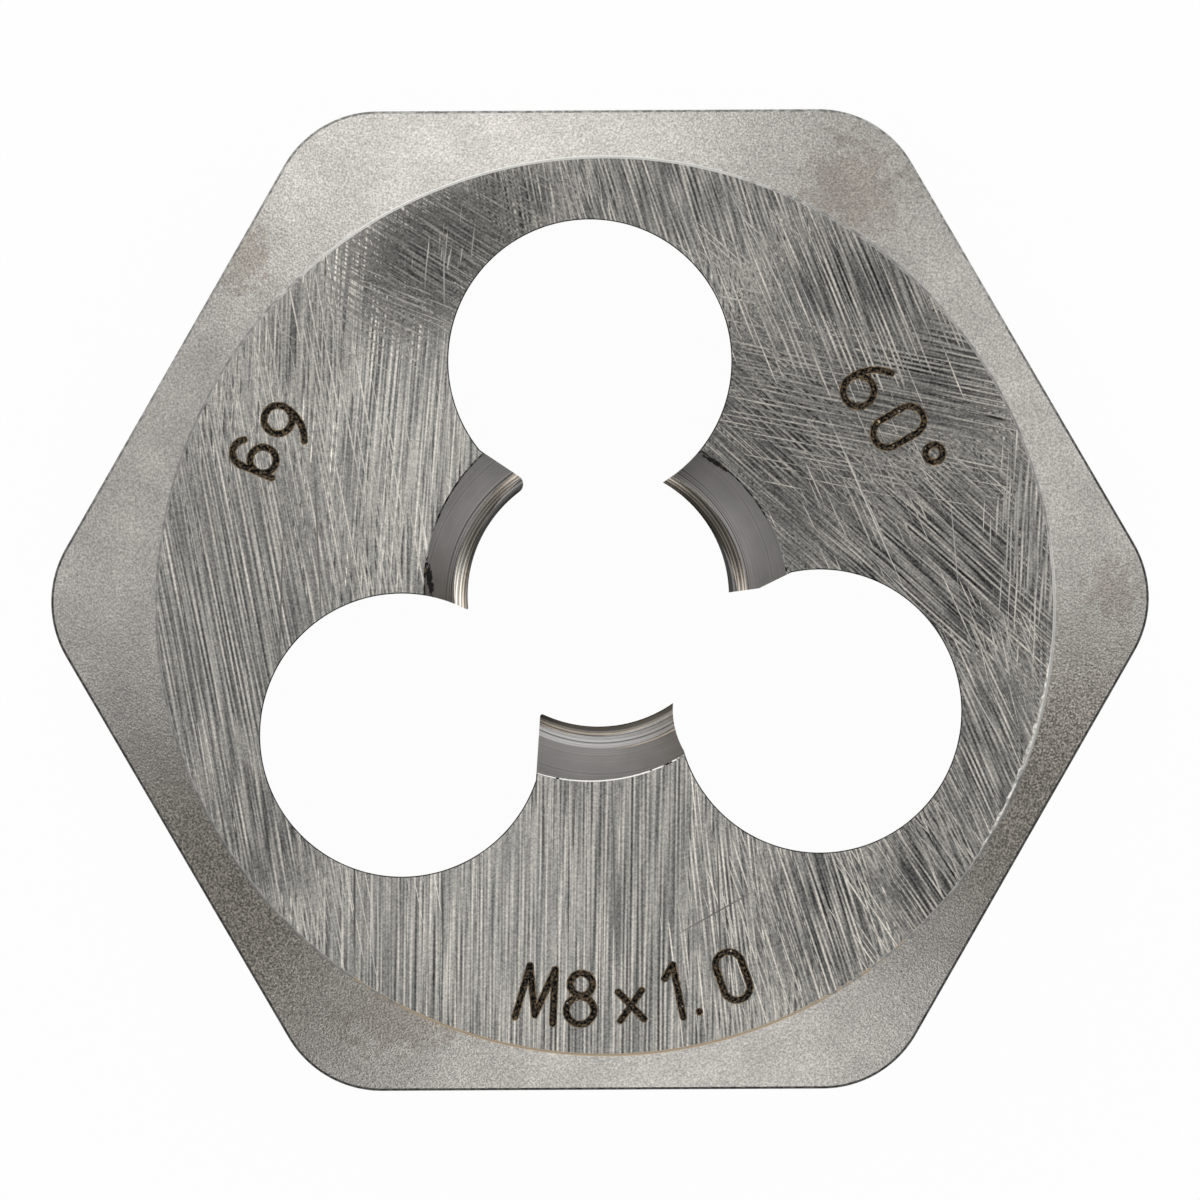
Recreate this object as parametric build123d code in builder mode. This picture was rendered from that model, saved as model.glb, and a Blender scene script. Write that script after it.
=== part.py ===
from build123d import *
import math
import os

# Hexagonal blank, in millimetres and degrees
across_flats = 25.4
thickness = 9.525
corner_radius = 2.8

# Chamfer turned on both sides, which leaves a round ground face
face_diameter = 23.3
face_chamfer_angle = 30.0

# Internal metric thread, M8 with a fine pitch of 1, and the height at which its
# groove passes the first chip hole
thread_diameter = 8.0
thread_pitch = 1.0
flank_angle = 60.0
thread_start = 0.75

# Lead at both mouths of the thread, relieved behind each cutting edge
lead_diameter = 9.45
lead_angle = 60.0
lead_relief = 0.3

# Chip holes, which open into the bore and leave the cutting lands between them
chip_hole_count = 3
chip_hole_diameter = 7.34
chip_circle_diameter = 12.54
chip_pattern_turn = 3.0

# Flat ground on the heel of each land, at an angle from the line to the bore
heel_flat_depth = 0.12
heel_flat_angle = 37.0

# Standard profile of a die's thread: its root is an eighth of the pitch wide and its crest
# a sixth, because the crests cut the screw down to the screw's own root
half_flank = math.radians(flank_angle / 2)
root_flat = thread_pitch / 8
crest_flat = thread_pitch / 6
thread_depth = (thread_pitch - root_flat - crest_flat) / (2 * math.tan(half_flank))
crest_radius = thread_diameter / 2 - thread_depth

# Where one body cuts another, the cutter passes the surface by this much
overcut = 0.05
groove_mouth = root_flat + 2 * (thread_depth + overcut) * math.tan(half_flank)

# Cone of the face chamfer, out to the sharp corners of the hexagon
corner_reach = across_flats / math.sqrt(3)
face_radius = face_diameter / 2
chamfer_drop = (corner_reach - face_radius) * math.tan(math.radians(face_chamfer_angle))

# Cone of the lead, from just above the face down to its own point
lead_slope = math.tan(math.radians(lead_angle / 2))
lead_top_radius = lead_diameter / 2 + overcut * lead_slope
lead_depth = lead_diameter / 2 / lead_slope

# Holes and lands take turns round the bore
land_spacing = 360 / chip_hole_count
first_hole_angle = 90 + chip_pattern_turn
first_land_angle = first_hole_angle + land_spacing / 2

# Groove cutter: one turn of the thread's space, swept along the helix. It starts
# and ends in a chip hole, so the turns that follow each other leave no seam
with BuildPart() as groove_turn:
    with BuildLine() as groove_path:
        Helix(thread_pitch, thread_pitch, crest_radius)
    groove_plane = Plane(groove_path.line @ 0, x_dir=(1, 0, 0), z_dir=groove_path.line % 0)
    with BuildSketch(groove_plane):
        with BuildLine():
            Polyline(
                (-overcut, -groove_mouth / 2),
                (-overcut, groove_mouth / 2),
                (thread_depth, root_flat / 2),
                (thread_depth, -root_flat / 2),
                close=True,
            )
        make_face()
    sweep(is_frenet=True)

# Lead cutter for a land on the X axis: a sector of a cone, whose own axis stands to
# the side, so that the land falls away behind its cutting edge
with BuildPart() as lead_cutter:
    with Locations(Location((0, -lead_relief, overcut), (0, 0, -land_spacing / 2))):
        Cone(
            0,
            lead_top_radius,
            lead_depth + overcut,
            arc_size=land_spacing,
            align=(Align.NONE, Align.NONE, Align.MAX),
        )

# Chip hole, with the bore on its left
with BuildSketch() as chip_hole:
    Circle(chip_hole_diameter / 2)
    with PolarLocations(chip_hole_diameter / 2, 1, start_angle=180 - heel_flat_angle):
        Rectangle(2 * heel_flat_depth, chip_hole_diameter / 2, mode=Mode.SUBTRACT)

with BuildPart() as hex_die:
    # Hexagon with two corners on the X axis, and its upright edges rounded
    with BuildSketch():
        RegularPolygon(across_flats / 2, 6, major_radius=False)
    extrude(amount=thickness)
    fillet(hex_die.edges().filter_by(Axis.Z), corner_radius)

    # Both sides turned to a cone outside the ground face
    with BuildSketch(Plane.XZ):
        with BuildLine():
            Polyline(
                (0, 0),
                (face_radius, 0),
                (corner_reach, chamfer_drop),
                (corner_reach, thickness - chamfer_drop),
                (face_radius, thickness),
                (0, thickness),
                close=True,
            )
        make_face()
    revolve(axis=Axis.Z, mode=Mode.INTERSECT)

    # Bore, as wide as the thread's crests
    with BuildSketch():
        Circle(crest_radius)
    extrude(amount=thickness, mode=Mode.SUBTRACT)

    # Chip holes through the die
    with BuildSketch():
        with PolarLocations(
            chip_circle_diameter / 2, chip_hole_count, start_angle=first_hole_angle
        ):
            add(chip_hole.sketch)
    extrude(amount=thickness, mode=Mode.SUBTRACT)

    # Leads on the marked face and, turned over, on the back
    with Locations(Plane.XY.offset(thickness)):
        with PolarLocations(0, chip_hole_count, start_angle=first_land_angle):
            add(lead_cutter.part, mode=Mode.SUBTRACT)
    with Locations(Plane(origin=(0, 0, 0), x_dir=(1, 0, 0), z_dir=(0, 0, -1))):
        with PolarLocations(0, chip_hole_count, start_angle=-first_land_angle):
            add(lead_cutter.part, mode=Mode.SUBTRACT)

    # Thread on the lands, turn by turn, from below the back to above the front
    last_turn = math.ceil(thickness / thread_pitch)
    turn_heights = [thread_start + turn * thread_pitch for turn in range(-2, last_turn + 1)]
    with Locations([(0, 0, height) for height in turn_heights]):
        add(groove_turn.part, rotation=(0, 0, first_hole_angle), mode=Mode.SUBTRACT)

os.makedirs("parts", exist_ok=True)
hex_die.part.label = "hex_die"
export_step(hex_die.part, "parts/hex_die.step")
print("valid", hex_die.part.is_valid, "solids", len(hex_die.solids()), "volume", hex_die.part.volume)
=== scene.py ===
# %% [markdown]
# # A hexagonal threading die
#
# The die is one block of steel: a hexagon cut from bar, turned to a cone on both sides,
# drilled with three chip holes round a threaded bore, hardened, blasted, and then ground
# flat on both faces. The steps below follow the workshop's order, because each tool leaves
# its own finish on the surface that it cuts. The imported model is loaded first. It is the
# fixed frame: the new piece takes its sizes and its place from it.

# %% Load the frame
import math
import bmesh
import bpy
from mathutils import Matrix, Vector


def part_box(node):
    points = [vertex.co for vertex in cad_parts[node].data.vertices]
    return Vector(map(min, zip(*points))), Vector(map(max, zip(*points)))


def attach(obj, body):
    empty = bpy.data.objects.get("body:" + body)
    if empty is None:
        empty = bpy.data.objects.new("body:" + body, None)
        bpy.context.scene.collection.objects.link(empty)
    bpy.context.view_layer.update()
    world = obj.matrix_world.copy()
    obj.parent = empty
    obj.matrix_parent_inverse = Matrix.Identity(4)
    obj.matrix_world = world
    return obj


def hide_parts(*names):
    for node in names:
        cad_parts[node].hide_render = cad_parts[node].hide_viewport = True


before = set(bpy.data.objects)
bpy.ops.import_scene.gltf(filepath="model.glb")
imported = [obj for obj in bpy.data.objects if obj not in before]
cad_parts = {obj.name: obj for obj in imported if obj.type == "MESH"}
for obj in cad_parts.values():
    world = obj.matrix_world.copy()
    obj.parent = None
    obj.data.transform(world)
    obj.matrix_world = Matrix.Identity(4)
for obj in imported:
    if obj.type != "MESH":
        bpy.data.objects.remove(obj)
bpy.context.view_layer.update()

# %% [markdown]
# Modelling at a scale of one unit to a millimetre keeps the numbers readable, and keeps
# them well above the small distances at which mesh tools merge points. The finished mesh
# is scaled to metres at the end. Three sizes are read off the frame's box, and the others
# are the drawing's.

# %% Sizes in millimetres and degrees
mm = 0.001
low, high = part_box("hex_die")
thickness = (high.z - low.z) / mm
across_flats = (high.y - low.y) / mm
corner_reach = across_flats / math.sqrt(3)
corner_radius = (corner_reach - (high.x - low.x) / mm / 2) / (2 / math.sqrt(3) - 1)

face_diameter = 23.3
face_chamfer_angle = 30.0
thread_diameter = 8.0
thread_pitch = 1.0
flank_angle = 60.0
thread_start = 0.75
lead_diameter = 9.45
lead_angle = 60.0
lead_relief = 0.3
chip_hole_count = 3
chip_hole_diameter = 7.34
chip_circle_diameter = 12.54
chip_pattern_turn = 3.0
heel_flat_depth = 0.12
heel_flat_angle = 37.0

half_flank = math.radians(flank_angle / 2)
root_flat = thread_pitch / 8
crest_flat = thread_pitch / 6
thread_depth = (thread_pitch - root_flat - crest_flat) / (2 * math.tan(half_flank))
crest_radius = thread_diameter / 2 - thread_depth
land_spacing = 360 / chip_hole_count
first_hole_angle = 90 + chip_pattern_turn
first_land_angle = first_hole_angle + land_spacing / 2
hole_angles = [first_hole_angle + turn * land_spacing for turn in range(chip_hole_count)]
land_angles = [first_land_angle + turn * land_spacing for turn in range(chip_hole_count)]
print(f"across flats {across_flats:.3f}, thickness {thickness:.3f}")
print(f"corner radius {corner_radius:.3f}, crest radius {crest_radius:.3f}")

# %% [markdown]
# Every tool leaves its own finish, so there is one material for each. They are made here
# by name, and their nodes follow once the shape is done. A boolean set to transfer its
# materials hands the tool's finish to the faces that it cuts.

# %% Name the finishes
ground_face = bpy.data.materials.new("ground_face")
blasted_cone = bpy.data.materials.new("blasted_cone")
bar_flat = bpy.data.materials.new("bar_flat")
drilled_wall = bpy.data.materials.new("drilled_wall")
turned_lead = bpy.data.materials.new("turned_lead")
cut_thread = bpy.data.materials.new("cut_thread")
outline_edge = bpy.data.materials.new("outline_edge")
face_edge = bpy.data.materials.new("face_edge")
hole_edge = bpy.data.materials.new("hole_edge")
lead_edge = bpy.data.materials.new("lead_edge")
burnt_groove = bpy.data.materials.new("burnt_groove")
heat_tint = bpy.data.materials.new("heat_tint")
print("materials in the file", len(bpy.data.materials))


# %% [markdown]
# Three helpers do the bench work. One adds a cylinder to a bmesh, one turns a bmesh into an
# object with its finishes, and one cuts an object with another by an exact boolean, keeps
# the result as a plain mesh and throws the tool away.

# %% Bench helpers
def add_cylinder(shape, radius, depth, segments, place=Matrix()):
    """An upright closed cylinder, with its middle at the place."""
    bmesh.ops.create_cone(
        shape,
        cap_ends=True,
        segments=segments,
        radius1=radius,
        radius2=radius,
        depth=depth,
        matrix=place,
    )


def make_piece(name, shape, *finishes):
    """An object from a bmesh, with its normals outwards and its finishes in their slots."""
    bmesh.ops.recalc_face_normals(shape, faces=shape.faces)
    mesh = bpy.data.meshes.new(name)
    shape.to_mesh(mesh)
    shape.free()
    for material in finishes:
        mesh.materials.append(material)
    made = bpy.data.objects.new(name, mesh)
    bpy.context.scene.collection.objects.link(made)
    return made


def cut(body, tool, operation="DIFFERENCE", crossing=False):
    """The body changed by the tool, whose finish goes to the faces that it leaves."""
    boolean = body.modifiers.new("cut", "BOOLEAN")
    boolean.object = tool
    boolean.operation = operation
    boolean.solver = "EXACT"
    boolean.material_mode = "TRANSFER"
    boolean.use_self = crossing
    cut_body = body.evaluated_get(bpy.context.evaluated_depsgraph_get())
    result = bpy.data.meshes.new_from_object(cut_body)
    body.modifiers.clear()
    body.data = result
    bpy.data.objects.remove(tool)
    print(f"{body.name}: {len(result.polygons)} faces")


# %% [markdown]
# The blank is a slice of hexagonal bar with round corners. A bevel with a profile of 0.5
# is a true arc only round a right angle, and these corners are wider. So the blank is a
# convex hull: six upright cylinders stand in the corners, the hull wraps them like a band,
# and dissolving by a small angle joins its flat triangles. The blank is longer than the
# die, so that the next tools, and not its own ends, leave the two faces.

# %% Saw the blank
spare = 1.0
corner_steps = 24
corner_distance = corner_reach - corner_radius * 2 / math.sqrt(3)
blank = bmesh.new()
for corner in range(6):
    turn = Matrix.Rotation(math.radians(60 * corner), 4, "Z")
    place = turn @ Matrix.Translation((corner_distance, 0, thickness / 2))
    add_cylinder(blank, corner_radius, thickness + 2 * spare, 6 * corner_steps, place)
bmesh.ops.delete(blank, geom=blank.edges[:] + blank.faces[:], context="EDGES_FACES")
wrapped = bmesh.ops.convex_hull(blank, input=blank.verts[:])
inner = {part for part in wrapped["geom_interior"] if isinstance(part, bmesh.types.BMVert)}
bmesh.ops.delete(blank, geom=list(inner), context="VERTS")
flat_angle = math.radians(0.1)
bmesh.ops.dissolve_limit(blank, angle_limit=flat_angle, verts=blank.verts[:], edges=blank.edges[:])
die = make_piece("threading_die", blank, bar_flat)
print("blank", len(die.data.polygons), "faces")

# %% [markdown]
# In the lathe each side is turned to a flat cone outside a round face. One tall cone does
# a side in a single intersection: its small end is the face, and its slope is the chamfer.
# The bar was not held quite on its centre, and the photograph shows the round face a
# little low and to the right of the hexagon, so the cone stands off the axis by that much.

# %% Turn both sides
turned_off_centre = (0.14, -0.155)
turning_steps = 192
turned_height = thickness + spare
slope = math.tan(math.radians(face_chamfer_angle))
for tilt, face_height in ((0, thickness), (math.pi, 0)):
    cone = bmesh.new()
    bmesh.ops.create_cone(
        cone,
        cap_ends=True,
        segments=turning_steps,
        radius1=face_diameter / 2 + turned_height / slope,
        radius2=face_diameter / 2,
        depth=turned_height,
        matrix=Matrix.Rotation(tilt, 4, "X") @ Matrix.Translation((0, 0, -turned_height / 2)),
    )
    for face in cone.faces:
        face.material_index = 0 if len(face.verts) > 4 else 1
    bmesh.ops.translate(cone, verts=cone.verts, vec=(*turned_off_centre, face_height))
    cut(die, make_piece("turned_cone", cone, ground_face, blasted_cone), "INTERSECT")

# %% [markdown]
# The three chip holes let the chips out and give each land its cutting edge. A drill is a
# plain cylinder, but here one side of it is sliced off by a bisecting plane and closed
# again: that leaves the short flat that is ground on the heel of each land. The bore is
# drilled last, as wide as the thread's crests. Each of these tools met the blank a tenth
# of a millimetre or so off its centre, each in its own direction, and the flat of the first
# hole is ground a little deeper, as the photograph shows.

# %% Drill the chip holes and the bore
drill_steps = 144
drill_length = thickness + 2 * spare
drilled_off_centre = (0.097, -0.063)
bored_off_centre = (-0.045, 0.105)
first_flat_deeper = 0.045
flat_depths = (heel_flat_depth + first_flat_deeper, heel_flat_depth, heel_flat_depth)
heel = Vector((1, 0, 0))
heel.rotate(Matrix.Rotation(math.radians(180 - heel_flat_angle), 3, "Z"))
for angle, flat_depth in zip(hole_angles, flat_depths):
    drill = bmesh.new()
    add_cylinder(drill, chip_hole_diameter / 2, drill_length, drill_steps)
    sliced = bmesh.ops.bisect_plane(
        drill,
        geom=drill.verts[:] + drill.edges[:] + drill.faces[:],
        plane_co=heel * (chip_hole_diameter / 2 - flat_depth),
        plane_no=heel,
        clear_outer=True,
    )
    rim = [part for part in sliced["geom_cut"] if isinstance(part, bmesh.types.BMEdge)]
    bmesh.ops.contextual_create(drill, geom=rim)
    bmesh.ops.translate(drill, verts=drill.verts, vec=(chip_circle_diameter / 2, 0, thickness / 2))
    bmesh.ops.rotate(drill, verts=drill.verts, matrix=Matrix.Rotation(math.radians(angle), 3, "Z"))
    bmesh.ops.translate(drill, verts=drill.verts, vec=(*drilled_off_centre, 0))
    cut(die, make_piece("drill", drill, drilled_wall))

bore = bmesh.new()
bore_place = Matrix.Translation((*bored_off_centre, thickness / 2))
add_cylinder(bore, crest_radius, drill_length, drill_steps, bore_place)
cut(die, make_piece("bore", bore, cut_thread))

# %% [markdown]
# The six tips between the bore and the holes are a little blunt. They are the upright
# edges between the two finishes, so they are easy to pick, and a bevel rounds them before
# the thread and the leads cut through.

# %% Blunt the tips
def edges_between(shape, first, *others):
    """Edges with one face of the first finish and one of another."""
    pairs = [{slots[first.name], slots[other.name]} for other in others]
    sides = {edge: {face.material_index for face in edge.link_faces} for edge in shape.edges}
    return [edge for edge in shape.edges if sides[edge] in pairs]


tip_blunting = 0.09
slots = {material.name: index for index, material in enumerate(die.data.materials)}
blunted = bmesh.new()
blunted.from_mesh(die.data)
tips = edges_between(blunted, drilled_wall, cut_thread)
bmesh.ops.bevel(
    blunted,
    geom=tips,
    affect="EDGES",
    offset=tip_blunting,
    segments=3,
    profile=0.5,
    material=slots[drilled_wall.name],
)
blunted.to_mesh(die.data)
blunted.free()
print("tips blunted", len(tips))

# %% [markdown]
# A bolt blank enters through a cone, the lead. Behind each cutting edge the lead falls
# away a little, which is called relief. So each land gets a sector of a cone of its own,
# spun from a triangle, whose axis stands slightly to the side. The back gets the same
# leads, turned over.

# %% Ream the leads
reamed_off_centre = (0.04, 0.05)
overcut = 0.05
merge_distance = 0.0001
lead_steps = 48
lead_slope = math.tan(math.radians(lead_angle / 2))
lead_tip = (0, 0, -lead_diameter / 2 / lead_slope)
lead_rim = (lead_diameter / 2 + overcut * lead_slope, 0, overcut)
back_turn = Matrix.Rotation(-math.radians(land_spacing / 2), 3, "Z")
for tilt, face_height in ((0, thickness), (math.pi, 0)):
    for angle in land_angles:
        reamer = bmesh.new()
        corners = [reamer.verts.new(place) for place in (lead_tip, lead_rim, (0, 0, overcut))]
        triangle = reamer.faces.new(corners)
        bmesh.ops.rotate(reamer, verts=reamer.verts, matrix=back_turn)
        bmesh.ops.spin(
            reamer,
            geom=[triangle, *triangle.edges, *triangle.verts],
            axis=(0, 0, 1),
            angle=math.radians(land_spacing),
            steps=lead_steps,
        )
        bmesh.ops.remove_doubles(reamer, verts=reamer.verts, dist=merge_distance)
        bmesh.ops.translate(reamer, verts=reamer.verts, vec=(0, -lead_relief, 0))
        land_turn = math.radians(angle if tilt == 0 else -angle)
        place = Matrix.Rotation(tilt, 4, "X") @ Matrix.Rotation(land_turn, 4, "Z")
        bmesh.ops.transform(reamer, verts=reamer.verts, matrix=place)
        bmesh.ops.translate(reamer, verts=reamer.verts, vec=(*reamed_off_centre, face_height))
        cut(die, make_piece("reamer", reamer, turned_lead))

# %% [markdown]
# The first tip of the left land has lost its sharp corner. The piece to take away is what
# lies outside a small circle that touches both sides of the tip, the bore and the heel's
# flat: a block over the tip, out of which a cylinder is cut first. Its centre is one tip
# radius away from both sides.

# %% Round the worn tip
def drilled_at(angle):
    """Where the drill stood for the chip hole at that angle."""
    turn = Matrix.Rotation(math.radians(angle), 3, "Z")
    return turn @ Vector((chip_circle_diameter / 2, 0, 0)) + Vector((*drilled_off_centre, 0))


tip_radius = 0.25
tip_reach = 0.6
bore_centre = Vector((*bored_off_centre, 0))
to_flat = Matrix.Rotation(math.radians(first_hole_angle), 3, "Z") @ heel
bore_to_hole = drilled_at(first_hole_angle) - bore_centre
flat_from_bore = bore_to_hole.dot(to_flat) + chip_hole_diameter / 2 - flat_depths[0]
rounding_distance = crest_radius + tip_radius
rounding_turn = -math.acos((flat_from_bore + tip_radius) / rounding_distance)
from_bore = Matrix.Rotation(rounding_turn, 3, "Z") @ to_flat
rounding = bore_centre + from_bore * rounding_distance
to_bore, to_hole = -from_bore, -to_flat
outwards = (to_bore + to_hole).normalized()
block = bmesh.new()
corners = (
    rounding,
    rounding + to_bore * tip_reach,
    rounding + outwards * 2 * tip_reach,
    rounding + to_hole * tip_reach,
)
block_face = block.faces.new([block.verts.new(corner) for corner in corners])
risen = bmesh.ops.extrude_face_region(block, geom=[block_face])
risen = [part for part in risen["geom"] if isinstance(part, bmesh.types.BMVert)]
bmesh.ops.translate(block, verts=risen, vec=(0, 0, drill_length))
bmesh.ops.translate(block, verts=block.verts, vec=(0, 0, -spare))
tip_block = make_piece("tip_block", block, drilled_wall)
pin_steps = 48
pin = bmesh.new()
add_cylinder(pin, tip_radius, 2 * drill_length, pin_steps, Matrix.Translation(rounding))
cut(tip_block, make_piece("pin", pin, drilled_wall))
cut(die, tip_block)

# %% [markdown]
# The two tips beside the last chip hole have been ground back a little further. A small
# round stone took one, and left a hollow. A flat one took the other: here it is a square
# bar, whose working side stands at a set reach from the hole's centre.

# %% Grind back two tips
last_hole = drilled_at(hole_angles[-1]) + Vector((0, 0, thickness / 2))
stone_radius = 2.15
stone_shift = Vector((-1.66, 0.056, 0))
stone = bmesh.new()
stone_place = Matrix.Translation(last_hole + stone_shift)
add_cylinder(stone, stone_radius, drill_length, drill_steps, stone_place)
cut(die, make_piece("round_stone", stone, drilled_wall))

bar_side = 1.6
bar_reach = 3.367
bar_slide = 1.8
bar_angle = 97.5
bar_turn = Matrix.Rotation(math.radians(bar_angle), 3, "Z")
bar_shift = bar_turn @ Vector((bar_reach - bar_side / 2, bar_slide, 0))
bar = bmesh.new()
bmesh.ops.create_cube(bar, size=1.0)
bmesh.ops.scale(bar, verts=bar.verts, vec=(bar_side, bar_side, drill_length))
bmesh.ops.rotate(bar, verts=bar.verts, matrix=bar_turn)
bmesh.ops.translate(bar, verts=bar.verts, vec=last_hole + bar_shift)
cut(die, make_piece("flat_stone", bar, drilled_wall))

# %% [markdown]
# The thread comes next, as a tap cuts it. Its tool is one turn's cross-section, the space
# between two crests, spun round the axis while each step also rises a little: the operator
# calls that rise dvec. It starts below the back and ends above the front.

# %% Tap the thread
turn_steps = 96
first_turn = -2
turns = math.ceil(thickness / thread_pitch) - first_turn + 1
groove_mouth = root_flat + 2 * (thread_depth + overcut) * math.tan(half_flank)
tap = bmesh.new()
corners = [
    tap.verts.new(place)
    for place in (
        (crest_radius - overcut, 0, -groove_mouth / 2),
        (thread_diameter / 2, 0, -root_flat / 2),
        (thread_diameter / 2, 0, root_flat / 2),
        (crest_radius - overcut, 0, groove_mouth / 2),
    )
]
space = tap.faces.new(corners)
bmesh.ops.spin(
    tap,
    geom=[space, *space.edges, *space.verts],
    axis=(0, 0, 1),
    dvec=(0, 0, thread_pitch / turn_steps),
    angle=2 * math.pi * turns,
    steps=turns * turn_steps,
)
tap_turn = Matrix.Rotation(math.radians(first_hole_angle), 3, "Z")
bmesh.ops.rotate(tap, verts=tap.verts, matrix=tap_turn)
thread_foot = thread_start + first_turn * thread_pitch
bmesh.ops.translate(tap, verts=tap.verts, vec=(*bored_off_centre, thread_foot))
cut(die, make_piece("tap", tap, cut_thread))

# %% [markdown]
# No real edge is perfectly sharp. A bevel of a few hundredths of a millimetre catches the
# light as a thin line, which is what makes an edge look like steel. The edges are chosen
# by the finishes on their two sides, and each kind of edge gets its own finish: the outline
# is dull and dark, the round face has a bright burr, and the leads have a broken one. Their
# bright stretches are partly painted highlights, and the near-black rims of the holes are
# painted shade.

# %% Break the edges
def touches(face, finish):
    """Whether a face has a neighbour of that finish."""
    neighbours = [near for edge in face.edges for near in edge.link_faces]
    return any(near.material_index == slots[finish.name] for near in neighbours)


shortest_edge = 0.001
for finish in (outline_edge, face_edge, hole_edge, lead_edge):
    die.data.materials.append(finish)
slots = {material.name: index for index, material in enumerate(die.data.materials)}
edged = bmesh.new()
edged.from_mesh(die.data)
bmesh.ops.dissolve_degenerate(edged, dist=shortest_edge, edges=edged.edges)
for kind, edge_finish, width in (
    ((blasted_cone, bar_flat), outline_edge, 0.07),
    ((ground_face, blasted_cone), face_edge, 0.04),
    ((ground_face, drilled_wall, turned_lead), hole_edge, 0.03),
):
    broken = bmesh.ops.bevel(
        edged,
        geom=edges_between(edged, *kind),
        affect="EDGES",
        offset=width,
        segments=2,
        profile=0.5,
        clamp_overlap=False,
        material=slots[edge_finish.name],
    )
for reached in (turned_lead, lead_edge):
    for face in [face for face in broken["faces"] if touches(face, reached)]:
        face.material_index = slots[lead_edge.name]
edged.to_mesh(die.data)
edged.free()
print("after the edges", len(die.data.polygons), "faces")

# %% [markdown]
# The size is engraved in the ground face with a round bit, so every stroke has the same
# width and round ends. A stroke is drawn here in three ways: a line is a small sphere whose
# far half is pulled away, an arc is such a line cut into steps and bent, and a ring is a
# full spin of a circle. The letters are drawn on a unit height, from a baseline at zero.

# %% Drawing strokes
stroke_sides = 12
stroke_rings = 7
arc_step = math.radians(15)


def line(shape, start, end, radius):
    """A straight stroke, in an empty bmesh."""
    way = Vector((*end, 0)) - Vector((*start, 0))
    steps = {"u_segments": stroke_sides, "v_segments": stroke_rings}
    bmesh.ops.create_uvsphere(shape, radius=radius, **steps)
    far = [vert for vert in shape.verts if vert.co.z > 0]
    bmesh.ops.translate(shape, verts=far, vec=(0, 0, way.length))
    upright = Matrix.Rotation(math.radians(90), 4, "Y")
    turn = Matrix.Rotation(math.atan2(way.y, way.x), 4, "Z")
    place = Matrix.Translation((*start, 0)) @ turn @ upright
    bmesh.ops.transform(shape, verts=shape.verts, matrix=place)


def arc(shape, centre, bend, first, last, radius):
    """A stroke bent round a centre, from the first angle to the last, in degrees."""
    begin, sweep = math.radians(first), math.radians(last - first)
    line(shape, (0, 0), (bend * sweep, 0), radius)
    reach = {edge: abs(edge.verts[0].co.x - edge.verts[1].co.x) for edge in shape.edges}
    long_edges = [edge for edge in shape.edges if reach[edge] > bend * sweep / 2]
    bmesh.ops.subdivide_edges(shape, edges=long_edges, cuts=math.ceil(sweep / arc_step))
    for vert in shape.verts:
        reached = min(max(vert.co.x, 0), bend * sweep)
        bent = Vector((bend - vert.co.y, vert.co.x - reached, vert.co.z))
        bent.rotate(Matrix.Rotation(begin + reached / bend, 3, "Z"))
        vert.co = bent + Vector((*centre, 0))


def ring(shape, centre, bend, radius):
    """A closed round stroke."""
    on_edge = Matrix.Rotation(math.radians(90), 4, "X")
    place = Matrix.Translation((centre[0] + bend, centre[1], 0)) @ on_edge
    bmesh.ops.create_circle(shape, radius=radius, segments=stroke_sides, matrix=place)
    bmesh.ops.spin(
        shape,
        geom=shape.verts[:] + shape.edges[:],
        cent=(*centre, 0),
        axis=(0, 0, 1),
        angle=2 * math.pi,
        steps=math.ceil(2 * math.pi / arc_step),
        use_merge=True,
    )


# %% [markdown]
# Each letter is a short list of strokes. The second number is how far the hand moves on
# to the next letter, as a share of the letters' height.

# %% The letters
letters = {
    "M": (0.98, (
        (line, (0.0, 0.0), (0.12, 1.0)),
        (line, (0.12, 1.0), (0.36, 0.1)),
        (line, (0.36, 0.1), (0.6, 1.0)),
        (line, (0.6, 1.0), (0.72, 0.0)),
    )),
    "8": (0.86, ((ring, (0.3, 0.27), 0.26), (ring, (0.3, 0.76), 0.21))),
    "x": (0.82, ((line, (0.04, 0.08), (0.48, 0.62)), (line, (0.04, 0.62), (0.48, 0.08)))),
    "1": (0.62, ((line, (0.3, 0.0), (0.3, 1.0)), (line, (0.3, 1.0), (0.1, 0.78)))),
    ".": (0.42, ((line, (0.1, 0.03), (0.1, 0.04)),)),
    "0": (0.86, (
        (arc, (0.28, 0.72), 0.25, 0, 180),
        (arc, (0.28, 0.28), 0.25, 180, 360),
        (line, (0.03, 0.28), (0.03, 0.72)),
        (line, (0.53, 0.28), (0.53, 0.72)),
    )),
    "6": (0.86, ((ring, (0.3, 0.28), 0.27), (arc, (0.75, 0.28), 0.72, 118, 180))),
    "g": (0.86, (
        (ring, (0.3, 0.36), 0.25),
        (line, (0.55, 0.64), (0.55, 0.0)),
        (arc, (0.3, 0.0), 0.25, 210, 360),
    )),
    "degree": (0.5, ((ring, (0.2, 0.84), 0.15),)),
    "gap": (0.2, ()),
}
print("letters drawn", len(letters))

# %% [markdown]
# The marks follow the round face, so each letter is turned to its own angle. The bottom and
# left marks have their tops to the bore, and the right one to the rim. They say the size,
# the tolerance and the flank angle of the thread. A few nicks from use are cut in the same
# way, each a short arc on the rim of a lead.

# %% Lay out the marks
letter_middle = 0.3
marks = (
    # letters, angle of the middle, radius of the baseline, height, tops to the bore
    (("M", "8", "gap", "x", "gap", "1", ".", "0"), 274.6, 11.03, 1.38, True),
    (("6", "g"), 153.8, 9.95, 1.36, True),
    (("6", "0", "degree"), 31.5, 8.2, 1.5, False),
)
nicks = (
    # centre, radius, first angle, last angle
    ((0.203, -0.202), 4.7, 47, 58),
    ((0.176, 0.317), 4.72, 172, 176),
    ((0.176, 0.317), 4.69, 176.5, 180),
)
nick_width = 0.08
above_face = 0.001
hair = 0.02


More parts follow.
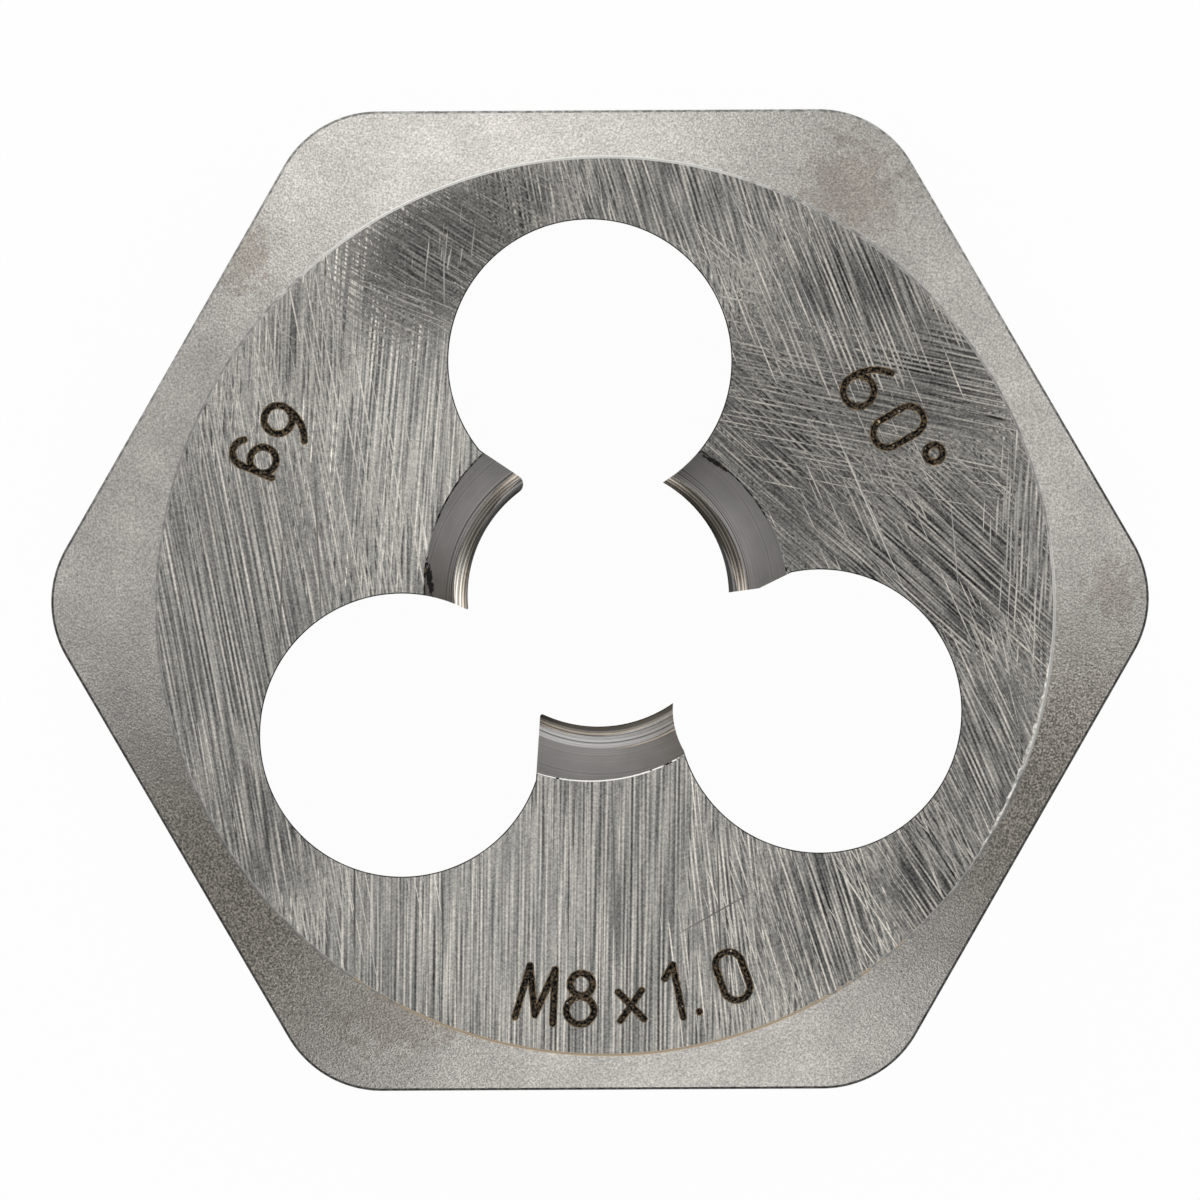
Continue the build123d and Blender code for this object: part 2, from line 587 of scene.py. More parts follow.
def add_stroke(strokes, stroke, places, radius, place):
    """One stroke drawn in an empty bmesh, put in its place and added to the others."""
    shape = bmesh.new()
    stroke(shape, *places, radius)
    bmesh.ops.transform(shape, verts=shape.verts, matrix=place)
    drawn = bpy.data.meshes.new("stroke")
    shape.to_mesh(drawn)
    shape.free()
    strokes.from_mesh(drawn)
    bpy.data.meshes.remove(drawn)


def engraving(width, depth, nicks_too=()):
    """All strokes of all marks, pressed to a depth, with their middle on the front face."""
    strokes = bmesh.new()
    for words, middle, baseline, height, tops_in in marks:
        written = -sum(letters[letter][0] for letter in words) * height / 2
        for letter in words:
            advance, drawing = letters[letter]
            along = math.degrees((written + advance * height / 2) / baseline)
            turn = math.radians(middle + along + 90 if tops_in else middle - along - 90)
            foot = -baseline if tops_in else baseline
            corner = (-letter_middle * height, foot, 0)
            place = Matrix.Rotation(turn, 4, "Z") @ Matrix.Translation(corner)
            for number, (stroke, *places) in enumerate(drawing):
                radius = width / 2 / height * (1 + number * hair)
                add_stroke(strokes, stroke, places, radius, place @ Matrix.Scale(height, 4))
            written += advance * height
    for nick in nicks_too:
        add_stroke(strokes, arc, nick, nick_width / 2, Matrix())
    bmesh.ops.scale(strokes, verts=strokes.verts, vec=(1, 1, 2 * depth / width))
    bmesh.ops.translate(strokes, verts=strokes.verts, vec=(0, 0, thickness + above_face))
    return strokes


print("marks", len(marks), "nicks", len(nicks))

# %% [markdown]
# Two booleans cut the marks: a very shallow, wider one for the rim of metal that the heat
# has tinted, then the dark groove itself, together with the nicks. The strokes of a letter
# cross each other, so they are first joined into one clean tool. A boolean with use_self
# does that, and because it needs a second piece, that piece is a bead high above the face.
# Where strokes meet, each is a hair wider than the one before, because a boolean is at its
# best where no two surfaces lie in each other.

# %% Engrave the marks and the nicks
above_all = Matrix.Translation((0, 0, 2 * thickness))
tint_width, tint_depth = 0.205, 0.015
groove_width, groove_depth = 0.15, 0.07
for tool_name, strokes, finish in (
    ("tint_tool", engraving(tint_width, tint_depth), heat_tint),
    ("groove_tool", engraving(groove_width, groove_depth, nicks), burnt_groove),
):
    joined = make_piece(tool_name, strokes, finish)
    bead = bmesh.new()
    bmesh.ops.create_icosphere(bead, subdivisions=1, radius=spare, matrix=above_all)
    cut(joined, make_piece("bead", bead, finish), "UNION", crossing=True)
    cut(die, joined)
slots = {material.name: index for index, material in enumerate(die.data.materials)}

# %% [markdown]
# Shading comes next. Round walls are shaded smooth, the flat faces stay flat, and an edge
# is sharp where two finishes meet or where the surface turns by more than the limit.
# Otherwise the shading would bleed from a bevel across a whole flat face. Last, the mesh is
# scaled to metres in its own data, so the object stays unscaled at the origin.

# %% Shade and scale to metres
smooth_limit = math.radians(30)
shaded = bmesh.new()
shaded.from_mesh(die.data)
bmesh.ops.scale(shaded, verts=shaded.verts, vec=(mm, mm, mm))
flat_slots = {slots["ground_face"]}
for face in shaded.faces:
    face.smooth = face.material_index not in flat_slots
for edge in shaded.edges:
    first, second = edge.link_faces
    same_finish = first.material_index == second.material_index
    edge.smooth = same_finish and edge.calc_face_angle(0) < smooth_limit
shaded.to_mesh(die.data)
shaded.free()
print("shaded", len(die.data.polygons), "faces")

# %% [markdown]
# Now the finishes get their nodes. A few helpers keep them readable: one adds a node and
# fills in its inputs, one does arithmetic, one eases a value between two limits and one
# blends two values. They all work in the node tree of the finish that was started last.
# Object coordinates are metres here, and the Mapping node in its texture mode divides them
# by a size, so a size given in millimetres is the real size on the die.

# %% Node helpers
def add_node(kind, inputs, **settings):
    """A new node. A socket given as an input is linked, and a plain value is set."""
    node = tree.nodes.new("ShaderNode" + kind)
    for name, value in settings.items():
        setattr(node, name, value)
    for key, value in inputs.items():
        if isinstance(value, bpy.types.NodeSocket):
            tree.links.new(value, node.inputs[key])
        else:
            node.inputs[key].default_value = value
    return node


def maths(operation, *values):
    """The result of one Math node."""
    return add_node("Math", dict(enumerate(values)), operation=operation).outputs[0]


def ease(value, low, high, bottom=0.0, top=1.0):
    """The value, eased from bottom to top between low and high."""
    limits = {"Value": value, "From Min": low, "From Max": high, "To Min": bottom, "To Max": top}
    return add_node("MapRange", limits, interpolation_type="SMOOTHSTEP").outputs[0]


def blend_values(share, first, second):
    """First where the share is 0, second where it is 1."""
    return add_node("Mix", {0: share, 2: first, 3: second}).outputs[0]


def sized_place(size, centre=(0, 0, 0), turn=0):
    """Object coordinates about a centre, turned in degrees, with a size in millimetres as 1."""
    place = {
        0: add_node("TexCoord", {}).outputs["Object"],
        1: [value * mm for value in centre],
        2: (0, 0, math.radians(turn)),
        3: [value * mm for value in size],
    }
    return add_node("Mapping", place, vector_type="TEXTURE").outputs[0]


# %% [markdown]
# A few patterns serve all finishes. Grain is even noise. Streaks are noise drawn out along
# one direction, as a grinding wheel leaves them: the same noise is taken away from itself
# one line further, which leaves fine even lines and no broad clouds. Rings are noise on the
# distance from the bore's axis, as a turning tool leaves them. A patch is an ellipse that
# limits a pattern to one area. Its edge can be torn by another pattern, and a sparse patch
# only shows where that pattern is strongest. A scratch is a patch so slim that it is a line.
# Two factors darken or brighten: one in a soft ellipse, the other on the rim of the bore.

# %% Patterns
endless = 1e6
one_line_on = (0.3, 1, 0)


def noise(socket, place, detail, dimensions):
    """Noise from 0 to 1, with one lump to a unit of the place."""
    inputs = {socket: place, "Scale": 1.0, "Detail": detail}
    return add_node("TexNoise", inputs, noise_dimensions=dimensions).outputs[0]


def grain(size, seed=0, detail=2.0):
    """Noise with lumps of about a size in millimetres."""
    sizes = size if isinstance(size, tuple) else (size, size, size)
    return noise("Vector", sized_place(sizes, (seed, seed, seed)), detail, "3D")


def streaks(angle, length, width, seed=0):
    """Fine even lines of that length and width in millimetres, from about -0.5 to 0.5."""
    place = sized_place((length, width, 1), (seed, seed, 0), angle)
    beside = add_node("VectorMath", {0: place, 1: one_line_on}, operation="ADD").outputs[0]
    here, there = [noise("Vector", spot, 0.0, "2D") for spot in (place, beside)]
    return maths("SUBTRACT", here, there)


def distance_from(size, centre=(0, 0), turn=0):
    """Distance from an upright axis, 1 on an ellipse of that half size in millimetres."""
    place = sized_place((*size, endless), (*centre, 0), turn)
    return add_node("VectorMath", {0: place}, operation="LENGTH").outputs["Value"]


def rings(width, seed=0):
    """Noise of that width in millimetres on the distance from the bore's axis."""
    place = maths("ADD", distance_from((width, width)), seed)
    return noise("W", place, 2.0, "1D")


def patch(centre, half_size, tearing=None, torn=0.0, softness=0.2, turn=0, sparse=0.0):
    """1 inside an ellipse and 0 outside. A pattern moves its edge in and out, and holes it."""
    distance = maths("ADD", distance_from(half_size, centre, turn), sparse)
    if tearing is not None:
        pull = maths("SUBTRACT", 0.5, tearing)
        distance = maths("MULTIPLY_ADD", pull, torn, distance)
    return ease(distance, 1 + softness, 1 - softness)


def patch_gain(centre, half_size, gain):
    """A factor that is 1 outside a soft ellipse and the gain in its middle."""
    return ease(patch(centre, half_size, softness=0.5), 0, 1, 1.0, gain)


def crest_shade():
    """A factor that darkens the rim of the bore."""
    from_crest = distance_from((crest_radius, crest_radius), bored_off_centre)
    return ease(from_crest, 1.0, 1.06, 0.4, 1.0)


def scratch(start, end, width):
    """1 on a thin line between two points in millimetres, and 0 elsewhere."""
    way = Vector(end) - Vector(start)
    middle = (Vector(start) + Vector(end)) / 2
    turn = math.degrees(math.atan2(way.y, way.x))
    return patch(middle, (way.length / 2, width / 2), softness=0.6, turn=turn)


# %% [markdown]
# Steel colours are written as grey tones of the picture, from 0 to 1. A power of 2.2 turns
# a tone into the light that it stands for, and a small warmth pulls the grey towards
# yellow, as on the real die. The shader is the principled one, fully metallic.

# %% Metal helpers
def start_metal(material, roughness):
    """The node tree of a finish and its principled shader, set to bare metal."""
    material.use_nodes = True
    shader = material.node_tree.nodes["Principled BSDF"]
    shader.inputs["Metallic"].default_value = 1.0
    shader.inputs["Roughness"].default_value = roughness
    return material.node_tree, shader


def paint(shader, tone, warmth=(1.0, 0.985, 0.935), tint=None):
    """A tone as a warm grey on the shader. A tint around 0 moves it to warm or cool."""
    light = maths("POWER", maths("MAXIMUM", tone, 0.01), 2.2)
    if tint is not None:
        warmth = (
            maths("ADD", tint, warmth[0]),
            warmth[1],
            maths("SUBTRACT", warmth[2], tint),
        )
    parts = {index: maths("MULTIPLY", light, share) for index, share in enumerate(warmth)}
    colour = add_node("CombineColor", parts)
    tree.links.new(colour.outputs[0], shader.inputs["Base Color"])


def roughen(shader, height, depth):
    """A bump of that depth in millimetres."""
    bump = add_node("Bump", {"Height": height, "Distance": depth * mm, "Strength": 1.0})
    tree.links.new(bump.outputs[0], shader.inputs["Normal"])


# %% [markdown]
# The ground face is the piece's main finish. The wheel passed over it several times, and
# the lines of the later passes lie over the earlier ones: upright on the left and at the
# bottom, slanting at the top, and crossing on the right. Each pass is a patch of streaks
# with its own direction and tone, and its edge is torn by its own lines, so two passes
# interlock instead of fading into each other. The tone of a pass is painted reflection:
# fine lines mirror most the lamps that stand across them, so each direction looks brighter
# or darker, and that is painted into the colour. The lines also tint the steel a little,
# the light ones warmer and the dark ones cooler, and the first pass gives the slight relief.

# %% Grind the face
tone_step = 1 / 255
line_width = 0.058
line_gain = 0.46
band_width = 0.45
band_strength = 0.05
tearing_strength = 1.3
tone_tearing = 0.7
line_softness = 0.12
tone_softness = 0.45
line_tint = 0.12
grit_strength = 0.45
first_pass = (89, 3.6, 146, 0.9)
later_passes = (
    # angle, centre, half size, turn, line length, tone as painted reflection, line strength,
    # sparseness
    (89, (-2.4, -8.2), (1.9, 2.6), 0, 3.2, 158, 0.9, 0.0),
    (85, (-6.2, 6.0), (3.0, 3.9), 0, 3.6, 158, 1.2, 0.0),
    (88, (-7.7, 6.6), (1.3, 1.8), 0, 3.0, 137, 1.0, 0.0),
    (101, (-9.6, -1.0), (3.8, 6.4), 0, 3.4, 137, 1.0, 0.0),
    (100, (-8.8, -5.8), (2.0, 2.2), 0, 2.0, 126, 1.0, 0.0),
    (108, (2.2, 10.6), (5.4, 2.4), 0, 1.4, 131, 1.0, 0.0),
    (96, (3.6, -8.0), (1.3, 3.2), 0, 2.4, 142, 1.25, 0.0),
    (108, (5.9, -8.0), (1.9, 3.0), 0, 1.8, 126, 1.3, 0.0),
    (124, (8.8, -7.0), (1.7, 2.6), 0, 1.5, 110, 1.25, 0.0),
    (138, (8.6, 0.8), (5.2, 4.4), 0, 1.8, 109, 1.15, 0.0),
    (138, (5.0, 4.6), (2.8, 3.4), 0, 1.6, 99, 0.9, 0.0),
    (114, (9.9, -4.0), (1.6, 2.6), 0, 1.4, 121, 1.1, 0.0),
    (168, (8.2, 6.0), (3.6, 2.2), 0, 1.8, 107, 0.95, 0.0),
    (112, (6.8, 8.2), (2.6, 2.0), 0, 2.0, 116, 1.25, 0.0),
    (114, (7.0, 2.4), (3.0, 3.0), 0, 1.6, 108, 1.0, 1.0),
    (100, (-2.3, 10.3), (1.5, 1.7), 0, 1.2, 121, 1.1, 0.0),
    (148, (-4.1, 9.0), (2.5, 1.8), 30, 1.2, 102, 0.6, 0.0),
    (158, (-5.2, 7.6), (2.2, 1.4), 0, 1.4, 118, 0.7, 0.95),
    (84, (-4.0, 9.0), (2.0, 1.6), 0, 1.0, 135, 0.8, 1.25),
    (87, (11.2, 1.8), (0.9, 2.4), 0, 1.4, 133, 0.9, 0.3),
    (102, (10.6, -1.5), (1.4, 2.5), 0, 1.4, 128, 1.0, 1.0),
)

tree, shader = start_metal(ground_face, 0.34)
angle, length, level, strength = first_pass
bands = streaks(angle, 3 * length, band_width)
tone = maths("MULTIPLY_ADD", bands, band_strength, level * tone_step)
first_lines = streaks(angle, length, line_width)
lines = maths("MULTIPLY", first_lines, line_gain * strength)
for number, passed in enumerate(later_passes, start=1):
    angle, centre, half_size, turn, length, level, strength, sparse = passed
    new_lines = streaks(angle, length, line_width, 10.0 * number)
    place = (centre, half_size, maths("ADD", new_lines, 0.5))
    covered = patch(*place, tearing_strength, line_softness, turn, sparse)
    painted_reflection_area = covered
    if not sparse:
        painted_reflection_area = patch(*place, tone_tearing, tone_softness, turn)
    new_lines = maths("MULTIPLY", new_lines, line_gain * strength)
    lines = blend_values(covered, lines, new_lines)
    # painted reflection: each pass's tone stands for how its lines mirror the lamps
    tone = blend_values(painted_reflection_area, tone, level * tone_step)
grit = maths("SUBTRACT", grain(0.05, seed=60), 0.5)
lines = maths("MULTIPLY_ADD", grit, grit_strength, lines)
tone = maths("ADD", tone, lines)
print("grinding passes", 1 + len(later_passes))

# %% [markdown]
# Over the passes lie single scratches, some long and bright, some short; the brightest, by
# the left lead, is a painted highlight. The turned circle and the ground circle don't quite
# share a centre either: a bright sliver without grinding lines is left at the lower right,
# and a dark one runs round the upper left. The bright sliver is partly a painted glint along
# the rim. A circle shifted by a little more than it has grown leaves just such a sliver.

# %% Scratches and slivers
long_scratches = (
    # start, end, width, tone
    ((4.1, 9.4), (5.35, 6.7), 0.03, 190),
    ((6.0, 4.6), (7.9, 0.2), 0.032, 200),
    ((5.2, 8.3), (5.9, 6.6), 0.03, 180),
    ((3.4, 10.6), (4.3, 8.9), 0.03, 185),
    # a painted highlight: the white line of light on the left lead's rim
    ((-4.55, 1.85), (-4.46, 1.22), 0.045, 235),
    ((-4.0, 9.2), (-4.0, 7.7), 0.035, 165),
    ((-4.45, 8.9), (-4.5, 8.1), 0.03, 160),
    ((-3.2, 9.7), (-3.3, 8.9), 0.03, 160),
    ((9.2, -1.6), (10.6, -4.1), 0.035, 185),
    ((6.9, 1.2), (8.4, -0.4), 0.03, 165),
    ((9.1, 2.6), (9.3, 0.2), 0.03, 165),
    ((10.0, 4.74), (10.55, 4.6), 0.06, 50),
    ((-8.2, 2.0), (-8.35, -2.2), 0.04, 105),
    ((-6.4, -9.6), (-6.4, -4.6), 0.045, 85),
    ((2.1, -8.6), (3.9, -7.6), 0.04, 112),
    ((3.0, -6.0), (3.1, -10.2), 0.045, 95),
    ((-7.4, 3.6), (-7.2, -1.2), 0.04, 110),
    ((0.3, -4.9), (0.35, -8.8), 0.04, 105),
    ((-5.95, -6.9), (-5.93, -9.4), 0.045, 192),
    ((-5.82, -7.2), (-5.79, -9.3), 0.035, 188),
    ((-4.14, -6.8), (-4.13, -8.6), 0.04, 82),
)
for start, end, width, level in long_scratches:
    drawn = scratch(start, end, width)
    tone = blend_values(drawn, tone, level * tone_step)

slivers = (
    # side, shift of the circle, growth of its radius, tone
    # the bright sliver: an unground strip, partly a painted glint along the rim
    (-21, 2.5, 2.39, 215),
    (120, 0.5, 0.465, 112),
)
for angle, sliver_shift, growth, level in slivers:
    direction = Vector((math.cos(math.radians(angle)), math.sin(math.radians(angle))))
    centre = Vector(turned_off_centre) - direction * sliver_shift
    radius = face_diameter / 2 + growth
    ragged = grain(0.25, seed=angle, detail=3.0)
    inside = patch(centre, (radius, radius), ragged, 0.012, 0.001)
    dull, bright = 0.72 * level * tone_step, 1.15 * level * tone_step
    broken_up = grain(0.12, seed=angle + 5, detail=3.0)
    broken_up = ease(broken_up, 0.35, 0.65, dull, bright)
    tone = blend_values(inside, broken_up, tone)
tinting = maths("MULTIPLY", lines, line_tint)
paint(shader, tone, (0.95, 0.93, 0.87), tinting)
roughen(shader, first_lines, 0.004)
print("scratches", len(long_scratches), "slivers", len(slivers))

# %% [markdown]
# The cone was blasted with grit: it is matte, with a fine speckle of pits, a few brownish
# stains and slightly darker blotches. The two lower corners lie in shade between the lamps,
# and there the speckle is painted stronger and a little brown, as painted shade.

# %% Blast the cone
tree, shader = start_metal(blasted_cone, 0.38)
speckle = grain(0.055, detail=3.0)
blotches = grain(1.1, seed=20)
tone = ease(speckle, 0.2, 0.8, 0.57, 0.83)
tone = maths("MULTIPLY", tone, ease(blotches, 0.2, 0.8, 0.96, 1.04))
# painted shade: a stronger, browner speckle at the two lower corners, which lie in shade
coarse = grain(0.06, seed=50, detail=3.0)
coarse = ease(coarse, 0.34, 0.66, 0.42, 1.0)
shaded_corner_size = (3.6, 3.6)
shaded_corner_centres = ((-10.6, -8.3), (12.3, -5.2))
shaded_corner_areas = [patch(centre, shaded_corner_size, softness=0.6) for centre in shaded_corner_centres]
shaded_corner_share = maths("MULTIPLY", maths("MAXIMUM", *shaded_corner_areas), 0.65)
tone = blend_values(shaded_corner_share, tone, coarse)
rust = grain(0.3, seed=40, detail=4.0)
stains = (
    ((6.6, 10.6), (1.2, 1.2)),
    ((-5.2, -10.8), (1.5, 0.8)),
    ((-9.2, 9.0), (0.6, 0.9)),
    ((13.3, 0.2), (0.6, 0.7)),
)
stained = 0.0
for centre, half_size in stains:
    stain = patch(centre, half_size, rust, 3.0, 0.5)
    stained = maths("MAXIMUM", stained, stain)
tone = maths("MULTIPLY", tone, ease(stained, 0, 1, 1.0, 0.9))
# the brown tint is painted shade at the two corners and the stains' own colour elsewhere
browning = maths("MULTIPLY", shaded_corner_share, 0.07)
browning = maths("MULTIPLY_ADD", stained, 0.04, browning)
paint(shader, tone, (1.01, 0.97, 0.905), tint=browning)
roughen(shader, speckle, 0.011)
print("stains", len(stains))

# %% [markdown]
# The walls are simpler. The six flats keep faint lines from the drawn bar, and a drill
# leaves feed marks round the wall of its hole. Both are grain that is drawn out: a size may
# differ along each axis.

# %% Flats and walls
tree, shader = start_metal(bar_flat, 0.42)
drawn_lines = grain((0.12, 0.12, 8.0), detail=3.0)
pits = grain(0.07, seed=3)
tone = maths("MULTIPLY_ADD", drawn_lines, 0.3, 0.5)
paint(shader, maths("MULTIPLY_ADD", pits, 0.15, tone))
roughen(shader, maths("ADD", drawn_lines, pits), 0.005)

tree, shader = start_metal(drilled_wall, 0.38)
feed_marks = grain((2.0, 2.0, 0.07), detail=3.0)
paint(shader, ease(feed_marks, 0.25, 0.75, 0.38, 0.62))
roughen(shader, feed_marks, 0.01)
print("flats and walls finished")

# %% [markdown]
# A reamer leaves fine rings on the lead, and they grow stronger where the lead runs into
# the thread. A little dirt has stayed in two corners. The rings are noise on a distance, so
# they follow the bore without any texture being wrapped round it.

# %% Leads
tree, shader = start_metal(turned_lead, 0.3)
turned = rings(0.05)
smears = grain(0.8, seed=7)
tone = maths("MULTIPLY_ADD", turned, 0.1, 0.57)
tone = maths("MULTIPLY_ADD", smears, 0.12, tone)
lit = patch_gain((0.3, -4.6), (3.0, 1.6), 1.08)
tone = maths("MULTIPLY", tone, lit)
torn_rings = ease(rings(0.055, seed=40), 0.36, 0.64, 0.38, 0.88)
lit = patch_gain((0.3, -3.3), (2.6, 0.6), 1.5)
torn_rings = maths("MULTIPLY", torn_rings, lit)
torn_rings = maths("MULTIPLY", torn_rings, crest_shade())
thread_reach = (thread_diameter / 2, thread_diameter / 2)
reached = distance_from(thread_reach, bored_off_centre)
reached = ease(reached, 1.0, 0.97)
tone = blend_values(reached, tone, torn_rings)
dirt = grain(0.12, seed=8, detail=3.0)
dirty_corners = (
    ((-4.42, 0.6), (0.42, 0.07), 98),
    ((3.0, 3.55), (0.5, 0.05), -32),
)
for centre, half_size, turn in dirty_corners:
    dirty = patch(centre, half_size, dirt, 3.0, 0.3, turn)
    tone = blend_values(dirty, tone, 0.12)
paint(shader, tone, warmth=(1.0, 0.96, 0.93))
roughen(shader, turned, 0.002)
print("dirty corners", len(dirty_corners))

# %% [markdown]
# The flanks of the thread are bright where a tooth has rubbed and brown where old oil has
# dried. They mirror the lamps strongly, so one area is toned down and another up, and the
# rim of the bore is darkened.

# %% Thread
tree, shader = start_metal(cut_thread, 0.25)
turned = rings(0.07, seed=100)
oil = grain((0.9, 0.9, 0.2), seed=9)
tone = ease(turned, 0.35, 0.65, 0.35, 0.8)
tone = maths("MULTIPLY_ADD", oil, 0.3, tone)
gains = (
    ((0.3, -3.4), (3.0, 1.2), 0.55),
    ((-3.4, 1.0), (1.2, 1.6), 1.25),
)
for centre, half_size, gain in gains:
    tone = maths("MULTIPLY", tone, patch_gain(centre, half_size, gain))
tone = maths("MULTIPLY", tone, crest_shade())
browning = ease(turned, 0.45, 0.7, 0.0, 0.12)
paint(shader, tone, (1.0, 0.92, 0.82), browning)
roughen(shader, turned, 0.003)
print("areas toned", len(gains))

# %% [markdown]
# The broken edges each get a base tone with worn specks. The rims of the holes are painted
# near black, as painted shade. The outline is painted lighter along its top side, and the
# edges of the leads and of the round face are painted bright in a few stretches: painted
# light and painted highlights where they face the lamps. The round face's edge is also
# tanned at the bottom, where the heat has been.

# %% Edges
tree, shader = start_metal(hole_edge, 0.4)
worn = grain(0.15, detail=3.0)
# painted shade: the rims of the holes are near black
paint(shader, ease(worn, 0.35, 0.65, 0.06, 0.34))

tree, shader = start_metal(outline_edge, 0.5)
worn = grain(0.12, detail=3.0)
tone = ease(worn, 0.35, 0.65, 0.2, 0.38)
# painted light: the outline is lighter along its top side
lit = ease(distance_from((20.0, 20.0), (-3.0, 19.0)), 1.2, 0.8)
tone = blend_values(lit, tone, ease(worn, 0.35, 0.65, 0.5, 0.75))
paint(shader, tone)

tree, shader = start_metal(lead_edge, 0.3)
worn = grain(0.18, detail=3.0)
tone = ease(worn, 0.35, 0.65, 0.15, 0.6)
# painted highlights: bright stretches on the rims of the leads
lead_highlight_stretches = (
    ((0.3, -4.6), (2.4, 0.8)),
    ((-4.4, 1.5), (0.5, 0.45)),
    ((4.4, 1.0), (0.5, 1.2)),
)
for centre, half_size in lead_highlight_stretches:
    highlighted = patch(centre, half_size, worn, 3.5)
    tone = blend_values(highlighted, tone, 0.8)
paint(shader, tone)

tree, shader = start_metal(face_edge, 0.35)
worn = grain(0.2, detail=3.0)
tone = ease(worn, 0.3, 0.7, 0.62, 0.8)
# painted highlights: bright stretches of the burr at the top and on the right
face_highlight_stretches = (
    ((-2.5, 10.5), (7.0, 4.0)),
    ((11.5, -1.5), (2.0, 3.2)),
)
for centre, half_size in face_highlight_stretches:
    bright = patch(centre, half_size, worn, 0.8)
    tone = blend_values(bright, tone, 0.95)
tanned = patch((0.5, -11.5), (7.0, 3.0), worn, 3.0)
tone = blend_values(tanned, tone, 0.74)
paint(shader, tone, tint=maths("MULTIPLY", tanned, 0.22))
print("bright stretches", len(lead_highlight_stretches) + len(face_highlight_stretches))

# %% [markdown]
# The marks were burnt in. The floor of a groove is nearly black, with rust-brown specks and
# a few bright ones where the metal has melted, and the rim is tinted brown.

# %% Grooves and tint
tree, shader = start_metal(burnt_groove, 0.55)
soot = grain(0.07, detail=3.0)
beads = grain(0.1, seed=30, detail=0.0)
tone = ease(soot, 0.35, 0.68, 0.1, 0.42)
brown = ease(soot, 0.45, 0.65, 0.05, 0.4)
tone = blend_values(ease(beads, 0.8, 0.84), tone, 0.8)
paint(shader, tone, tint=brown)
roughen(shader, soot, 0.01)

tree, shader = start_metal(heat_tint, 0.45)
scorched = grain(0.1, detail=3.0)
tone = ease(scorched, 0.3, 0.7, 0.28, 0.55)
paint(shader, tone, tint=ease(scorched, 0.3, 0.7, 0.12, 0.4))
print("finishes", sorted(slots))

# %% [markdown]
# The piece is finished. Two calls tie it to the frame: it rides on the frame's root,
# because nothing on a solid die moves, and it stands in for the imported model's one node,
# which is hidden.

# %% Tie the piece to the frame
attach(die, "root")
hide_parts("hex_die")
print(f"{die.name} stands in for hex_die")

# %% [markdown]
# Product photographs of small tools are taken on white. The floor is a pale matt sheet, so
# it still holds the die's shadow, but the camera sees it almost fully white: the Light Path
# node tells the rays that come from the camera, or from a glossy surface, from those that
# carry light, and only for the first kind does the sheet glow.

# %% Stage
floor_size = 2.0
glow_share = 0.97
floor_shape = bmesh.new()
bmesh.ops.create_grid(floor_shape, x_segments=1, y_segments=1, size=floor_size)
floor_paint = bpy.data.materials.new("pale_floor")
floor_paint.use_nodes = True
tree = floor_paint.node_tree
tree.nodes.clear()
rays = tree.nodes.new("ShaderNodeLightPath")
seen = maths("MAXIMUM", rays.outputs["Is Camera Ray"], rays.outputs["Is Glossy Ray"])
seen = maths("MAXIMUM", seen, rays.outputs["Is Transmission Ray"])
share = maths("MULTIPLY", seen, glow_share)
matt = add_node("BsdfDiffuse", {"Color": (0.9, 0.9, 0.9, 1)})
glow = add_node("Emission", {"Color": (1, 1, 1, 1), "Strength": 1.0})
both = add_node("MixShader", {0: share, 1: matt.outputs[0], 2: glow.outputs[0]})
output = add_node("OutputMaterial", {0: both.outputs[0]})
floor = make_piece("floor", floor_shape, floor_paint)
print(f"floor {2 * floor_size:.1f} m wide")

# %% [markdown]
# Bare metal shows what it mirrors, so the lamps are the main paint of this picture. The
# cone leans out by 30 degrees. Seen from above, each of its sides mirrors whatever stands
# about 30 degrees over the horizon on its own side of the die. Four wide softboxes stand
# there, bright behind the top, weaker at the bottom and the sides, and the gaps between
# them leave the darker zones at the lower corners. A fifth softbox hangs straight above,
# and lights the flat face. Brightness is written as radiance, which is what the metal
# mirrors, and turned into the watts of each lamp by its area.

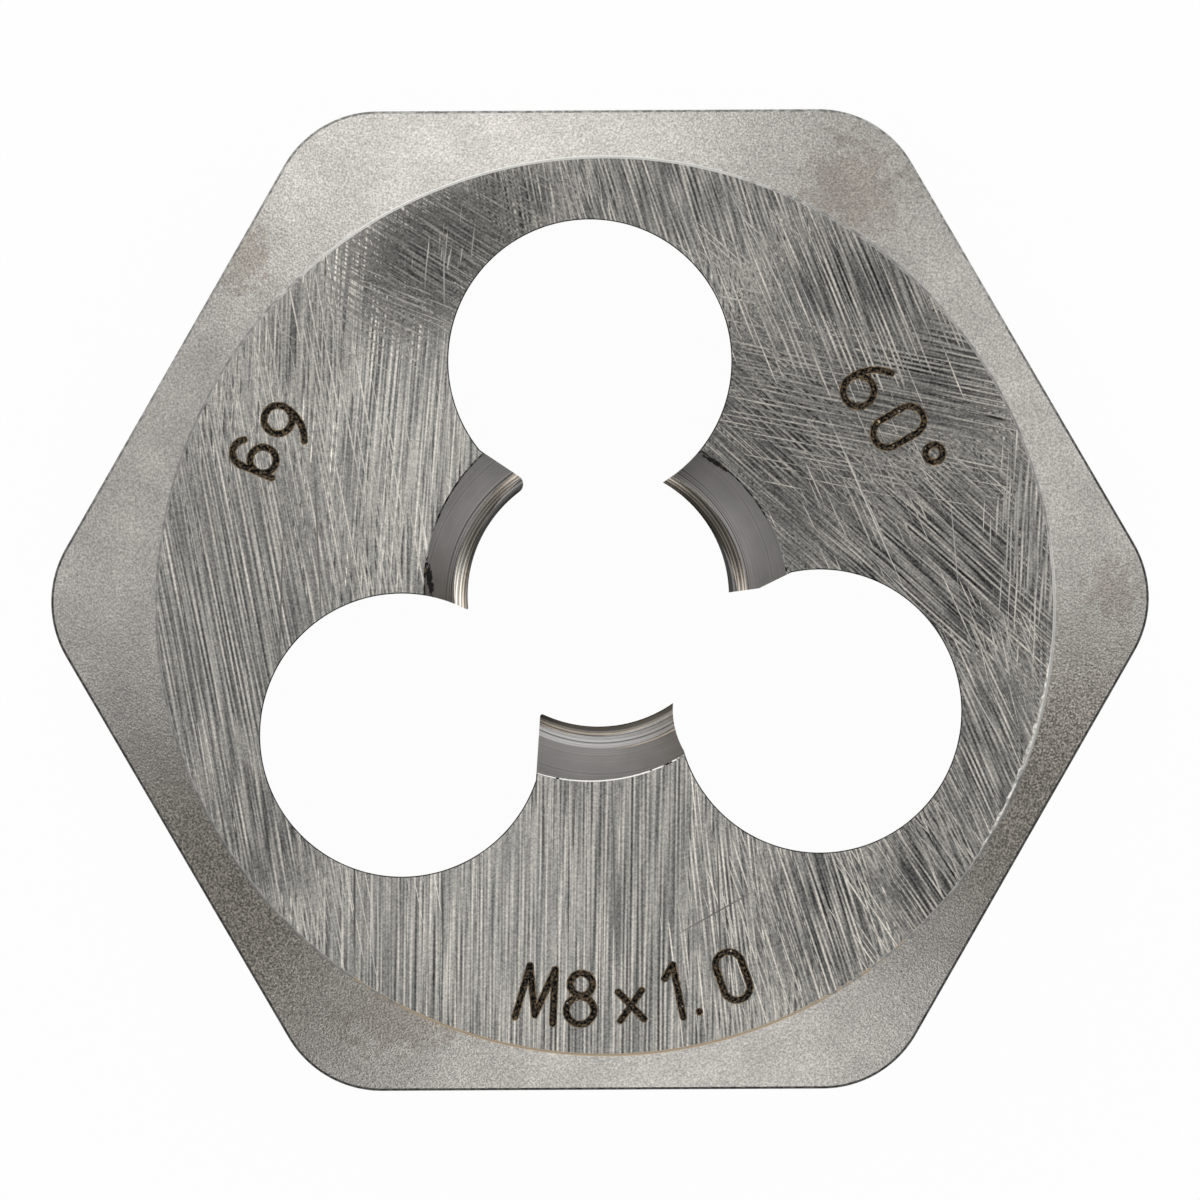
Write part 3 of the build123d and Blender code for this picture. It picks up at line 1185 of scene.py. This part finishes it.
# %% Lamps
lamp_distance = 0.25
world_strength = 0.15
for name, azimuth, elevation, brightness, width, height in (
    ("lamp_top", 104, 32, 1.9, 0.27, 0.16),
    ("lamp_bottom", 276, 32, 1.4, 0.27, 0.16),
    ("lamp_right", 25, 32, 1.25, 0.24, 0.16),
    ("lamp_left", 171, 32, 1.0, 0.16, 0.16),
    ("lamp_overhead", 0, 90, 1.05, 0.18, 0.18),
):
    light = bpy.data.lights.new(name, "AREA")
    light.shape = "RECTANGLE"
    light.size, light.size_y = width, height
    light.energy = brightness * math.pi * width * height
    lamp = bpy.data.objects.new(name, light)
    bpy.context.scene.collection.objects.link(lamp)
    side, rise = math.radians(azimuth), math.radians(elevation)
    outwards = (math.cos(side) * math.cos(rise), math.sin(side) * math.cos(rise), math.sin(rise))
    away = Vector(outwards)
    lamp.location = away * lamp_distance
    lamp.rotation_euler = away.to_track_quat("Z", "Y").to_euler()

world = bpy.data.worlds.new("studio")
world.use_nodes = True
world.node_tree.nodes["Background"].inputs["Color"].default_value = (1, 1, 1, 1)
world.node_tree.nodes["Background"].inputs["Strength"].default_value = world_strength
bpy.context.scene.world = world
print("lamps", len(bpy.data.lights))

# %% [markdown]
# The photograph looks straight down, with hardly any perspective: the walls of the holes
# can't be seen. An orthographic camera gives the same view. Its scale follows from the
# hexagon, whose flats are 979.5 of 1200 pixels apart, and a roll of 0.3 degrees sets the
# die as straight as it lies in the photograph.

# %% Camera
frame_pixels = 1200
flats_pixels = 979.5
camera_height = 0.15
roll = math.radians(-0.3)
camera_data = bpy.data.cameras.new("camera")
camera_data.type = "ORTHO"
camera_data.ortho_scale = across_flats * mm * frame_pixels / flats_pixels
camera_data.clip_start = 0.01
camera = bpy.data.objects.new("camera", camera_data)
bpy.context.scene.collection.objects.link(camera)
camera.location = (0, 0, camera_height)
camera.rotation_euler = (0, 0, roll)
bpy.context.scene.camera = camera
bpy.context.scene.view_settings.view_transform = "Standard"
print(f"picture is {camera_data.ortho_scale / mm:.2f} mm wide")
